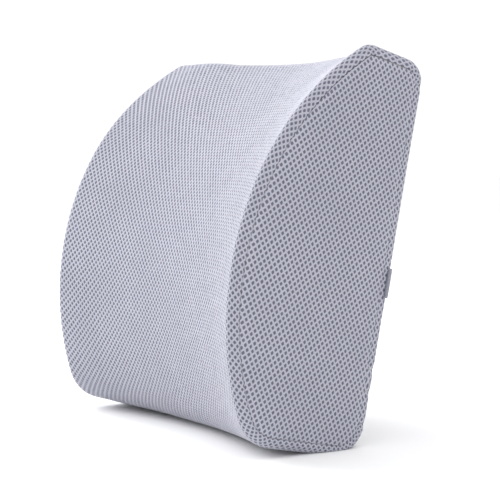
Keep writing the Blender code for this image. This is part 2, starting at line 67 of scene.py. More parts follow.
# Outside of the cover, as in the design.
HEIGHT = 0.343
DEPTH = 0.1565
CREST_HALF = 0.1482
EDGE_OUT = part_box("right_side_panel")[1].x - CREST_HALF
FRONT_RADIUS = 0.257
BULGE_LEVEL = 0.143
HOLLOW = 0.0288
TOP_DIP = 0.003
TOP_SLOPE = math.radians(5)
TOP_PEAK = np.array([-0.0650, HEIGHT])
BACK_BOTTOM_RADIUS = 0.030
FRONT_BOTTOM_RADIUS = 0.039
FRONT_TOP_RADIUS = 0.017
BACK_TOP_RADIUS = 0.020
FRONT_ROLL = 0.0085
BACK_ROLL = 0.009
ROLL_LENGTH = 0.0132  # fabric from a crest, rolled over, to the seam on the side
GAP = 0.0004
COVER = 0.003
ZIP_SLOT_HALF = 0.010
TAPE_HALF_LENGTH = 0.142
STRAP_LEVEL = 0.150
STRAP_WIDTH = 0.025

# The knit: holes in staggered rows. A cell holds one hole at its corners and one in its middle, and the
# threads between them run along its diagonals.
CELL_ACROSS = 0.0051
CELL_UP = 0.0065
FRONT_CELL_UP = 0.0061  # the front piece is stretched less, so its rows lie closer
FRONT_STRETCH = 0.15  # how much further apart the rows are drawn over the top
CELL_STEPS = 4  # grid steps to a cell, both ways
INNER_STEPS = 8  # grid steps of the outside to one of the plain inside
HOLE_DEPTH = 0.0011
SLOPE_DEPTH = 0.55  # depth half way from a thread to the middle of a hole, as a share

ORDER = (("arc", 0), ("line", 0), ("arc", 1), ("arc", 2), ("arc", 3), ("line", 3), ("arc", 4), ("line", 4))


def unit(angle):
    return np.stack([np.cos(angle), np.sin(angle)], axis=-1)


def ramp(value, start, end):
    """0 up to start, 1 from end on, and smooth between."""
    share = np.clip((value - start) / (end - start), 0.0, 1.0)
    return share * share * (3 - 2 * share)


def outline_arcs(hollow):
    """The arcs of the side outline as (centre, radius, start, end), from the back under the cushion to
    the front and over the top, in the plane of OUT and UP."""
    middle = np.array([FRONT_RADIUS - DEPTH + hollow, BULGE_LEVEL])
    top = math.pi / 2 - TOP_SLOPE
    top_normal = unit(top)
    top_offset = top_normal @ TOP_PEAK
    low_reach = FRONT_RADIUS - FRONT_BOTTOM_RADIUS
    high_reach = FRONT_RADIUS - FRONT_TOP_RADIUS
    low = -math.pi / 2 - math.acos((middle[1] - FRONT_BOTTOM_RADIUS) / low_reach)
    high = math.acos((top_offset - FRONT_TOP_RADIUS - top_normal @ middle) / high_reach) + top - math.tau
    back_top = (top_offset - BACK_TOP_RADIUS * (1 - top_normal[0])) / top_normal[1]
    return (
        (np.array([-1, 1]) * BACK_BOTTOM_RADIUS, BACK_BOTTOM_RADIUS, 0.0, -math.pi / 2),
        (middle + unit(low) * low_reach, FRONT_BOTTOM_RADIUS, -math.pi / 2, low),
        (middle, FRONT_RADIUS, low, high),
        (middle + unit(high) * high_reach, FRONT_TOP_RADIUS, high, top - math.tau),
        (np.array([-BACK_TOP_RADIUS, back_top]), BACK_TOP_RADIUS, top - math.tau, -math.tau),
    )


def line_ends(arcs, which):
    centre, radius, _, end = arcs[which]
    goal, goal_radius, start, _ = arcs[(which + 1) % len(arcs)]
    return centre + unit(end) * radius, goal + unit(start) * goal_radius


def stretches():
    """Where each stretch of the outline ends, measured along it from the back's lower edge."""
    arcs = outline_arcs(0.0)
    lengths = []
    for kind, which in ORDER:
        if kind == "arc":
            lengths.append(arcs[which][1] * abs(arcs[which][3] - arcs[which][2]))
        else:
            first, last = line_ends(arcs, which)
            lengths.append(float(np.linalg.norm(last - first)))
    return np.concatenate([[0.0], np.cumsum(lengths)])


MARKS = stretches()
SHELL_LENGTH = MARKS[-2]
FRONT_ARC = MARKS[3:5]
TOP_OF_BACK = outline_arcs(0.0)[4][0][1]


def back_along(level):
    """The distance along the outline at a height up the back."""
    return SHELL_LENGTH + TOP_OF_BACK - level


def profile(along, hollow):
    """Points and outward normals of the outline at distances along it."""
    arcs = outline_arcs(hollow)
    points = np.empty((len(along), 2))
    normals = np.empty((len(along), 2))
    piece = np.clip(np.searchsorted(MARKS, along, side="right") - 1, 0, len(ORDER) - 1)
    for index, (kind, which) in enumerate(ORDER):
        here = piece == index
        share = (along[here] - MARKS[index]) / (MARKS[index + 1] - MARKS[index])
        centre, radius, start, end = arcs[which]
        if kind == "arc":
            normals[here] = unit(start + (end - start) * share)
            points[here] = centre + normals[here] * radius
        else:
            first, last = line_ends(arcs, which)
            normals[here] = unit(end)
            points[here] = first + (last - first) * share[:, None]
    return points, normals


def roll_reach(normals):
    return BACK_ROLL + (FRONT_ROLL - BACK_ROLL) * ramp(-normals[:, 0], 0.0, 0.6)


def placed(x, out, up):
    """World points from places across the width, out of the back and up it."""
    return ORIGIN + np.multiply.outer(out, OUT) + np.multiply.outer(up, UP) + np.multiply.outer(x, [1, 0, 0])


SETTLE_START, SETTLE_END = 0.22, 0.34  # heights between which the settling grows
SLUMP, EAR_RISE, EAR_DIP = 0.0070, 0.0008, 0.0014


def settled(x, out, up):
    """The stuffing gives at the corners: the left one at the top has slumped most."""
    high = ramp(up, SETTLE_START, SETTLE_END)
    left = np.exp(-(((x + 0.158) / 0.030) ** 2)) * high
    right = np.exp(-(((x - 0.150) / 0.014) ** 2)) * high
    beside = np.exp(-(((x - 0.112) / 0.024) ** 2)) * high
    return out, up - SLUMP * left + EAR_RISE * right - EAR_DIP * beside


def skin(along, across, inset=0.0):
    """A grid of points on the cover. It has a column for each distance across, which goes on past a
    crest over the rolled edge. The distances along the outline are one for each row, or a grid."""
    along = np.asarray(along)
    columns = []
    for index, distance in enumerate(across):
        here = along[:, index] if along.ndim == 2 else along
        side = math.copysign(1.0, distance)
        x = min(abs(distance), CREST_HALF)
        roll = (abs(distance) - x) / ROLL_LENGTH * math.pi / 2
        level = 1 - (x / CREST_HALF) ** 2
        point, normal = profile(here, HOLLOW * level)
        sunk = inset + (roll_reach(normal) - inset) * (1 - math.cos(roll))
        point = point - normal * sunk[:, None]
        near_top = ramp(point[:, 1], 0.75 * HEIGHT, HEIGHT) * ramp(-point[:, 0], 0.0, 0.05)
        up = point[:, 1] - TOP_DIP * level * near_top
        edge = side * (x + (EDGE_OUT - inset) * math.sin(roll))
        out, up = settled(edge, point[:, 0], up)
        column = placed(np.full(len(here), edge), out, up)
        column[:, 2] = np.maximum(column[:, 2], inset * math.cos(roll))
        columns.append(column)
    return np.stack(columns, axis=1)


def grid_normals(grid):
    """Unit normals of a grid of points, pointing out of the cushion."""
    up = np.gradient(grid, axis=0)
    right = np.gradient(grid, axis=1)
    normals = np.cross(right, up)
    return normals / np.maximum(np.linalg.norm(normals, axis=-1, keepdims=True), 1e-9)


def waves(grid, length, seed):
    """Slow unevenness of the stuffing, from -1 to 1, over a few lengths."""
    random = np.random.default_rng(seed)
    total = np.zeros(grid.shape[:-1])
    for _ in range(6):
        direction = random.normal(size=3)
        direction /= np.linalg.norm(direction)
        pitch = length * random.uniform(0.7, 1.6)
        total += np.sin(grid @ direction * math.tau / pitch + random.uniform(0, math.tau))
    return total / 6


def new_object(name, mesh):
    made = bpy.data.objects.new(name, mesh)
    bpy.context.scene.collection.objects.link(made)
    return made


def mesh_from(name, points, faces, cells=None):
    """A smooth mesh, with a UV map that counts cells of the knit when it is given."""
    mesh = bpy.data.meshes.new(name)
    mesh.from_pydata(points, [], faces)
    if cells is not None:
        layer = mesh.uv_layers.new(name="UVMap")
        corners = np.empty(len(mesh.loops), np.int32)
        mesh.loops.foreach_get("vertex_index", corners)
        layer.data.foreach_set("uv", np.asarray(cells, np.float32)[corners].ravel())
    mesh.shade_smooth()
    return mesh


def quads(rows, columns, offset=0, flip=False):
    index = np.arange(rows * columns).reshape(rows, columns) + offset
    corners = [index[:-1, :-1], index[:-1, 1:], index[1:, 1:], index[1:, :-1]]
    if flip:
        corners = corners[::-1]
    return np.stack(corners, axis=-1).reshape(-1, 4).tolist()


def border(rows, columns, offset=0):
    index = np.arange(rows * columns).reshape(rows, columns) + offset
    return np.concatenate([index[0, :-1], index[:-1, -1], index[-1, :0:-1], index[:0:-1, 0]])


# Holes ------------------------------------------------------------------------------------------


def hole_depth(column, row):
    """How deep the knit lies at a grid point, from 0 on the threads to 1 in the middle of a hole."""
    deepest = np.zeros(np.broadcast(column, row).shape)
    for corner in (0.0, 0.5):
        across = np.abs((column / CELL_STEPS + corner + 0.5) % 1.0 - 0.5)
        up = np.abs((row / CELL_STEPS + corner + 0.5) % 1.0 - 0.5)
        share = np.interp(across + up, [0.0, 0.25, 0.5], [1.0, SLOPE_DEPTH, 0.0])
        deepest = np.maximum(deepest, share)
    return deepest


def cloth_puff(name, grid, cap):
    """How far the foam pushes the cover out between its seams, from a cloth simulation of a coarse
    copy of the panel that is held at its edges and blown up from behind."""
    rows, columns = grid.shape[:2]
    blank = new_object(name, mesh_from(name, grid.reshape(-1, 3), quads(rows, columns)))
    seam = blank.vertex_groups.new(name="seam")
    seam.add(border(rows, columns).tolist(), 1.0, "REPLACE")
    cloth = blank.modifiers.new("Cloth", "CLOTH")
    cloth.settings.vertex_group_mass = "seam"
    cloth.settings.quality = 5
    cloth.settings.use_pressure = True
    cloth.settings.uniform_pressure_force = 4.0
    cloth.settings.tension_stiffness = 15.0
    cloth.settings.compression_stiffness = 15.0
    cloth.settings.bending_stiffness = 0.5
    cloth.settings.effector_weights.gravity = 0.0
    cloth.collision_settings.use_collision = False
    scene = bpy.context.scene
    for step in range(1, 21):
        scene.frame_set(step)
    settled = blank.evaluated_get(bpy.context.evaluated_depsgraph_get()).to_mesh()
    moved = np.empty(rows * columns * 3)
    settled.vertices.foreach_get("co", moved)
    bpy.data.objects.remove(blank)
    scene.frame_set(1)
    away = ((moved.reshape(rows, columns, 3) - grid) * grid_normals(grid)).sum(-1)
    return away * min(1.0, cap / max(away.max(), 1e-9))


def resample(values, rows, columns):
    """A coarse grid of values on a finer grid, with the kinks between coarse cells smoothed away."""
    for axis, steps in ((0, rows), (1, columns)):
        coarse = values.shape[axis]
        at = np.linspace(0, coarse - 1, steps)
        values = np.apply_along_axis(lambda line: np.interp(at, np.arange(coarse), line), axis, values)
        window = max(1, int(steps / (coarse - 1)) | 1)
        padded = [(0, 0), (0, 0)]
        padded[axis] = (window // 2, window // 2)
        kernel = np.ones(window) / window
        wide = np.pad(values, padded, mode="reflect", reflect_type="odd")
        values = np.apply_along_axis(lambda line: np.convolve(line, kernel, "valid"), axis, wide)
    return values


SEAM_DEPTH = 0.0013
SEAM_REACH = 0.0030
UNEVEN = 0.0006  # height of the slow waves in the stuffing
BOW_FADE = 0.12  # how far from its ends the front piece's rows take to bow in full
BOW = -0.008


def seam_valley(distance):
    """The cover is drawn in along its seams."""
    return SEAM_DEPTH * np.exp(-((distance / SEAM_REACH) ** 2))


def knit_panel(name, node, ends, sides, puff, seed, cell_up=CELL_UP, bow=0.0, strap=False):
    """A piece of the cover between two distances along the outline and two across, as a closed shell.
    Its outside follows the knit, whose rows bow along the piece, and its inside is plain."""
    (first, last), (left, right) = ends, sides
    cells_up = cell_up * INNER_STEPS / CELL_STEPS
    cells_across = CELL_ACROSS * INNER_STEPS / CELL_STEPS
    even = np.linspace(first, last, 801)
    over_top = ramp(even, FRONT_ARC.mean(), FRONT_ARC[1]) * (even < SHELL_LENGTH + GAP / 2)
    pull = 1 + FRONT_STRETCH * over_top
    rows_to = np.concatenate([[0.0], np.cumsum(np.diff(even) / (pull[1:] + pull[:-1]) * 2)]) / cells_up
    rows = INNER_STEPS * max(1, round(rows_to[-1]))
    columns = INNER_STEPS * max(1, round((right - left) / cells_across))
    straight = np.interp(np.linspace(0.0, rows_to[-1], rows + 1), rows_to, even)
    across = np.linspace(left, right, columns + 1)
    from_end = np.minimum(straight - first, last - straight)[:, None]
    from_side = np.minimum(across - left, right - across)[None, :]
    along = straight[:, None] + bow * (across / CREST_HALF)[None, :] ** 3 * ramp(from_end, 0.0, BOW_FADE)
    base = skin(along, across)
    normals = grid_normals(base)
    coarse_rows, coarse_columns = max(3, rows // 8), max(3, columns // 8)
    coarse = skin(np.linspace(first, last, coarse_rows), np.linspace(left, right, coarse_columns))
    out = resample(cloth_puff(name + "_blank", coarse, puff), rows + 1, columns + 1)
    column, row = np.meshgrid(np.arange(columns + 1), np.arange(rows + 1))
    from_edge = np.minimum(from_end, from_side)
    open_holes = 0.30 + 0.70 * ramp(from_edge, 0.001, 0.005)
    out = out + UNEVEN * waves(base, 0.11, seed) * ramp(from_edge, 0.0, 0.03)
    if strap:
        out = out * ramp(np.abs(straight - back_along(STRAP_LEVEL)), 0.016, 0.045)[:, None]
    out = out - seam_valley(from_side) - 0.6 * seam_valley(from_end)
    out = out - HOLE_DEPTH * hole_depth(column, row) * open_holes
    outer = base + normals * out[..., None]
    outer[..., 2] = np.maximum(outer[..., 2], 0.0)
    inner = skin(along[::INNER_STEPS, ::INNER_STEPS], across[::INNER_STEPS], COVER)
    points = np.concatenate([outer.reshape(-1, 3), inner.reshape(-1, 3)])
    faces = quads(rows + 1, columns + 1)
    inside = (rows // INNER_STEPS + 1, columns // INNER_STEPS + 1)
    offset = (rows + 1) * (columns + 1)
    faces += quads(*inside, offset, flip=True)
    rim = border(rows + 1, columns + 1)
    inner_rim = border(*inside, offset)
    for step, corner in enumerate(inner_rim):
        after = inner_rim[(step + 1) % len(inner_rim)]
        edge = [rim[(step * INNER_STEPS + k) % len(rim)] for k in range(INNER_STEPS, -1, -1)]
        faces.append([int(corner), int(after), *map(int, edge)])
    cells = np.stack([column / CELL_STEPS, row / CELL_STEPS], axis=-1)
    inner_cells = cells[::INNER_STEPS, ::INNER_STEPS].reshape(-1, 2)
    mesh = mesh_from(name, points, faces, np.concatenate([cells.reshape(-1, 2), inner_cells]))
    return finish_cover(new_object(name, mesh), node)


def face_outward(mesh):
    mesh_edit = bmesh.new()
    mesh_edit.from_mesh(mesh)
    bmesh.ops.recalc_face_normals(mesh_edit, faces=mesh_edit.faces)
    mesh_edit.to_mesh(mesh)
    mesh_edit.free()


def finish_cover(piece, node):
    """Makes the faces point out, keeps the cut edge crisp, and puts the piece on its body."""
    face_outward(piece.data)
    piece.data.set_sharp_from_angle(angle=math.radians(80))
    piece.data.materials.append(LOOKS["spacer_mesh"])
    belongs(piece, "cushion", "cover_mesh", node)
    return piece


def belongs(piece, body, slot, *nodes):
    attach(piece, body)
    if nodes:
        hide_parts(*nodes)


# Materials --------------------------------------------------------------------------------------


def colour(code):
    """Linear colour from an sRGB hex value."""
    values = [int(code[at : at + 2], 16) / 255 for at in (1, 3, 5)]
    return (*(v / 12.92 if v <= 0.04045 else ((v + 0.055) / 1.055) ** 2.4 for v in values), 1.0)


def add(tree, kind, inputs=None, **settings):
    """Adds a node with its settings, and its inputs as values or as links from other sockets."""
    made = tree.nodes.new(kind)
    for name, value in settings.items():
        setattr(made, name, value)
    for name, value in (inputs or {}).items():
        if isinstance(value, bpy.types.NodeSocket):
            tree.links.new(value, made.inputs[name])
        else:
            made.inputs[name].default_value = value
    return made


def new_material(name):
    made = bpy.data.materials.new(name)
    made.use_nodes = True
    return made, made.node_tree, made.node_tree.nodes["Principled BSDF"]


def set_shader(tree, shader, **inputs):
    for name, value in inputs.items():
        socket = shader.inputs[name.replace("_", " ")]
        if isinstance(value, bpy.types.NodeSocket):
            tree.links.new(value, socket)
        else:
            socket.default_value = value


def vector_node(tree, operation, *vectors):
    return add(tree, "ShaderNodeVectorMath", dict(enumerate(vectors)), operation=operation)


def spacer_mesh():
    """Polyester spacer mesh, warp-knitted: matt doubled threads round open holes, and through each hole
    the spacer yarns and the lower layer of the knit, in a dark grey that is painted shade for the depth of
    the hole."""
    made, tree, shader = new_material("warp_knitted_polyester_spacer_mesh")
    cells = add(tree, "ShaderNodeUVMap", uv_map="UVMap").outputs[0]
    place = add(tree, "ShaderNodeTexCoord").outputs["Object"]
    wobble = add(tree, "ShaderNodeTexNoise", {"Vector": place, "Scale": 160.0, "Detail": 1.0})
    shift = add(
        tree,
        "ShaderNodeVectorMath",
        {0: wobble.outputs["Color"], 1: (0.16, 0.16, 0.0), 2: (-0.08, -0.08, 0.0)},
        operation="MULTIPLY_ADD",
    )
    loose = add(tree, "ShaderNodeVectorMath", {0: cells, 1: shift.outputs[0]}, operation="ADD")
    reaches = []
    for corner in (0.5, 1.0):
        moved = vector_node(tree, "ADD", loose.outputs[0], (corner, corner, 0))
        part = vector_node(tree, "FRACTION", moved.outputs[0])
        off = vector_node(tree, "SUBTRACT", part.outputs[0], (0.5, 0.5, 0))
        size = vector_node(tree, "ABSOLUTE", off.outputs[0])
        corners = vector_node(tree, "DOT_PRODUCT", size.outputs[0], (1, 1, 0))
        length = vector_node(tree, "LENGTH", off.outputs[0])
        rounded = {0: length.outputs["Value"], 1: 1.15, 2: corners.outputs["Value"]}
        reaches.append(add(tree, "ShaderNodeMath", rounded, operation="MULTIPLY_ADD").outputs[0])
    reach = add(tree, "ShaderNodeMath", {0: reaches[0], 1: reaches[1]}, operation="MINIMUM").outputs[0]
    hole = add(
        tree,
        "ShaderNodeMapRange",
        {"Value": reach, "From Min": 0.74, "From Max": 0.40},
        interpolation_type="SMOOTHSTEP",
    ).outputs[0]
    # Two threads run side by side round each hole.
    strand = add(tree, "ShaderNodeMath", {0: reach, 1: 17.0}, operation="MULTIPLY")
    strands = add(tree, "ShaderNodeMath", {0: strand.outputs[0]}, operation="SINE").outputs[0]
    blotch = add(tree, "ShaderNodeTexNoise", {"Vector": place, "Scale": 22.0, "Detail": 3.0}).outputs["Fac"]
    fuzz = add(tree, "ShaderNodeTexNoise", {"Vector": place, "Scale": 900.0, "Detail": 2.0}).outputs["Fac"]
    thread = add(
        tree,
        "ShaderNodeMix",
        {"Factor": blotch, 6: colour(THREAD_DARK), 7: colour(THREAD_LIGHT)},
        data_type="RGBA",
    )
    # Painted shade and highlight: the thread colour is darker between the two strands and lighter on their
    # crowns.
    strand_shade_range = {"Value": strands, "From Min": -1.0, "To Min": 0.90, "To Max": 1.04}
    painted_strand_shade = add(tree, "ShaderNodeMapRange", strand_shade_range).outputs[0]
    lit = add(tree, "ShaderNodeVectorMath", {0: thread.outputs[2], "Scale": painted_strand_shade}, operation="SCALE")
    # Painted shade: the holes are coloured a dark grey, mottled by the fine noise, for the shade down in
    # them.
    inner = add(
        tree,
        "ShaderNodeMix",
        {"Factor": fuzz, 6: colour(PAINTED_HOLE_SHADE_DARK), 7: colour(PAINTED_HOLE_SHADE_LIGHT)},
        data_type="RGBA",
    )
    layers = {"Factor": hole, 6: lit.outputs[0], 7: inner.outputs[2]}
    shade = add(tree, "ShaderNodeMix", layers, data_type="RGBA")
    relief = add(tree, "ShaderNodeMath", {0: hole, 1: -1.0}, operation="MULTIPLY").outputs[0]
    ropes = add(tree, "ShaderNodeMath", {0: strands, 1: 0.16, 2: relief}, operation="MULTIPLY_ADD").outputs[0]
    height = add(tree, "ShaderNodeMath", {0: fuzz, 1: 0.25, 2: ropes}, operation="MULTIPLY_ADD").outputs[0]
    bump = add(tree, "ShaderNodeBump", {"Height": height, "Distance": 0.0006, "Strength": 0.6})
    set_shader(
        tree,
        shader,
        Base_Color=shade.outputs[2],
        Normal=bump.outputs[0],
        Roughness=0.85,
        Specular_IOR_Level=0.25,
        Sheen_Weight=0.25,
        Sheen_Roughness=0.5,
    )
    return made


THREAD_DARK, THREAD_LIGHT = "#ADAEBB", "#BCBDC9"
# Painted shade: the greys seen in the holes, darker than the threads for the shade that falls into them.
PAINTED_HOLE_SHADE_DARK, PAINTED_HOLE_SHADE_LIGHT = "#5A5B6D", "#717284"



def noise(tree, place, scale, detail=2.0):
    return add(tree, "ShaderNodeTexNoise", {"Vector": place, "Scale": scale, "Detail": detail}).outputs["Fac"]


def between(tree, factor, low, high):
    """A colour between two, given as sRGB hex values."""
    inputs = {"Factor": factor, 6: colour(low), 7: colour(high)}
    return add(tree, "ShaderNodeMix", inputs, data_type="RGBA").outputs[2]


def math_node(tree, operation, first, second=0.0, third=0.0):
    return add(tree, "ShaderNodeMath", {0: first, 1: second, 2: third}, operation=operation).outputs[0]


def stripes(tree, along, pitch, wobble, amount):
    """A soft ridge every so many units along a coordinate, a little uneven."""
    turned = math_node(tree, "MULTIPLY_ADD", along, math.tau / pitch, 0.0)
    loose = math_node(tree, "MULTIPLY_ADD", wobble, amount, turned)
    return math_node(tree, "MULTIPLY_ADD", math_node(tree, "SINE", loose), 0.5, 0.5)


def band_marks(tree):
    """Millimetres along a band, and across it."""
    marks = add(tree, "ShaderNodeUVMap", uv_map="UVMap").outputs[0]
    parts = add(tree, "ShaderNodeSeparateXYZ", {0: marks})
    return parts.outputs[0], parts.outputs[1]


def elastic_webbing():
    """Knitted elastic: covered rubber cords side by side along it, tied by fine cross stitches."""
    made, tree, shader = new_material("knitted_polyester_elastic")
    along, across = band_marks(tree)
    place = add(tree, "ShaderNodeTexCoord").outputs["Object"]
    fuzz = noise(tree, place, 1600.0, 3.0)
    cords = stripes(tree, across, 1.25, fuzz, 0.5)
    stitches = stripes(tree, along, 0.9, fuzz, 0.9)
    relief = math_node(tree, "MULTIPLY_ADD", stitches, 0.5, cords)
    # Painted shade: the colour is darker in the grooves between cords and stitches, with random tone from the
    # fine noise.
    shade = math_node(tree, "MULTIPLY_ADD", fuzz, 0.35, math_node(tree, "MULTIPLY", relief, 0.45))
    bump = add(tree, "ShaderNodeBump", {"Height": relief, "Distance": 0.0003, "Strength": 0.9})
    tint = between(tree, shade, "#5E5F6E", "#A3A5B4")
    set_shader(tree, shader, Base_Color=tint, Normal=bump.outputs[0], Roughness=0.82, Sheen_Weight=0.2)
    return made


def woven_tape():
    """Zipper tape: fine polyester in a twill, whose ribs run aslant."""
    made, tree, shader = new_material("woven_polyester_zipper_tape")
    along, across = band_marks(tree)
    place = add(tree, "ShaderNodeTexCoord").outputs["Object"]
    fuzz = noise(tree, place, 1800.0, 3.0)
    slant = math_node(tree, "ADD", along, across)
    twill = stripes(tree, slant, 0.75, fuzz, 0.6)
    weft = stripes(tree, along, 0.5, fuzz, 0.6)
    relief = math_node(tree, "MULTIPLY_ADD", weft, 0.4, twill)
    # Painted shade: the colour is darker in the grooves of the twill and weft, with random tone from the fine
    # noise.
    shade = math_node(tree, "MULTIPLY_ADD", fuzz, 0.4, math_node(tree, "MULTIPLY", relief, 0.4))
    bump = add(tree, "ShaderNodeBump", {"Height": relief, "Distance": 0.00015, "Strength": 0.9})
    tint = between(tree, shade, "#6A6B7A", "#A9ABBA")
    set_shader(tree, shader, Base_Color=tint, Normal=bump.outputs[0], Roughness=0.85)
    return made


def nylon_coil():
    """Zipper coil: drawn nylon wire, dyed through, with a soft gleam."""
    made, tree, shader = new_material("dyed_nylon_monofilament")
    place = add(tree, "ShaderNodeTexCoord").outputs["Object"]
    cloud = noise(tree, place, 300.0)
    gloss = {"Value": noise(tree, place, 1500.0), "To Min": 0.28, "To Max": 0.5}
    rough = add(tree, "ShaderNodeMapRange", gloss).outputs[0]
    tint = between(tree, cloud, "#7C7D8C", "#A3A4B3")
    set_shader(tree, shader, Base_Color=tint, Roughness=rough, Coat_Weight=0.15)
    return made


def enamelled_zinc():
    """Die-cast zinc under grey enamel, with a faint orange peel and rubbed patches."""
    made, tree, shader = new_material("enamelled_zinc_die_casting")
    place = add(tree, "ShaderNodeTexCoord").outputs["Object"]
    patches = {"Value": noise(tree, place, 420.0, 4.0), "From Min": 0.5, "From Max": 0.7}
    rubbed = add(tree, "ShaderNodeMapRange", patches)
    peel = noise(tree, place, 2600.0)
    bump = add(tree, "ShaderNodeBump", {"Height": peel, "Distance": 0.00005, "Strength": 0.5})
    tint = between(tree, rubbed.outputs[0], "#83858F", "#A6A8B0")
    rough = add(tree, "ShaderNodeMapRange", {"Value": rubbed.outputs[0], "To Min": 0.42, "To Max": 0.26})
    set_shader(
        tree,
        shader,
        Base_Color=tint,
        Metallic=0.75,
        Roughness=rough.outputs[0],
        Normal=bump.outputs[0],
    )
    return made


def moulded_acetal():
    """Injection-moulded acetal from a spark-eroded mould: a fine even grain, with cloudy gloss."""
    made, tree, shader = new_material("injection_moulded_acetal")
    place = add(tree, "ShaderNodeTexCoord").outputs["Object"]
    grain = noise(tree, place, 2200.0, 4.0)
    cloud = noise(tree, place, 90.0)
    bump = add(tree, "ShaderNodeBump", {"Height": grain, "Distance": 0.00008, "Strength": 0.6})
    tint = between(tree, cloud, "#585A66", "#646673")
    rough = add(tree, "ShaderNodeMapRange", {"Value": cloud, "To Min": 0.42, "To Max": 0.55})
    set_shader(tree, shader, Base_Color=tint, Roughness=rough.outputs[0], Normal=bump.outputs[0])
    return made


def memory_foam():
    """Moulded polyurethane memory foam: off-white, with open pores and the skin of its mould."""
    made, tree, shader = new_material("moulded_memory_foam")
    place = add(tree, "ShaderNodeTexCoord").outputs["Object"]
    pores = add(tree, "ShaderNodeTexVoronoi", {"Vector": place, "Scale": 900.0}).outputs["Distance"]
    cloud = noise(tree, place, 40.0, 3.0)
    bump = add(tree, "ShaderNodeBump", {"Height": pores, "Distance": 0.0003, "Strength": 0.7})
    tint = between(tree, cloud, "#E4E0D4", "#F1EEE5")
    set_shader(tree, shader, Base_Color=tint, Roughness=0.95, Normal=bump.outputs[0], Subsurface_Weight=0.1)
    return made


def cooling_gel():
    """Blue polyurethane gel: glossy and cloudy, with a fine film of wrinkles."""
    made, tree, shader = new_material("blue_polyurethane_gel")
    place = add(tree, "ShaderNodeTexCoord").outputs["Object"]
    cloud = noise(tree, place, 30.0, 3.0)
    film = noise(tree, place, 260.0, 3.0)
    bump = add(tree, "ShaderNodeBump", {"Height": film, "Distance": 0.0003, "Strength": 0.4})
    tint = between(tree, cloud, "#0F8FD6", "#23A9EA")
    set_shader(tree, shader, Base_Color=tint, Roughness=0.22, Normal=bump.outputs[0], Subsurface_Weight=0.3)
    return made


LOOKS = {
    "spacer_mesh": spacer_mesh(),
    "elastic": elastic_webbing(),
    "tape": woven_tape(),
    "coil": nylon_coil(),
    "zinc": enamelled_zinc(),
    "acetal": moulded_acetal(),
    "foam": memory_foam(),
    "gel": cooling_gel(),
}


# Cover ------------------------------------------------------------------------------------------


def side_outline(margin=0.0):
    """The side piece's edge in the plane of OUT and UP, inside the seam, as a closed line."""
    along = np.linspace(0.0, MARKS[-1], 1200, endpoint=False)
    points, normals = profile(along, 0.0)
    return points - normals * (roll_reach(normals) + GAP + margin)[:, None]


def nearest_on(line, points):
    """The nearest place on a closed line to each point, and how far inside the line the point lies."""
    after = np.roll(line, -1, axis=0)
    best = np.full(len(points), 1e9)
    found = np.zeros_like(points)
    inside = np.zeros(len(points))
    for start, end in zip(line, after):
        step = end - start
        share = np.clip(((points - start) @ step) / (step @ step), 0.0, 1.0)
        place = start + share[:, None] * step
        away = np.linalg.norm(points - place, axis=1)
        nearer = away < best
        best[nearer] = away[nearer]
        found[nearer] = place[nearer]
        turn = step[0] * (points[:, 1] - start[1]) - step[1] * (points[:, 0] - start[0])
        inside[nearer] = np.where(turn[nearer] < 0, 1, -1)
    return found, best * inside


SIDE_COLUMN_TURN = math.radians(5)  # how far the knit of a side piece is turned back from the cushion's back
SIDE_ROW_TURN = math.radians(7)


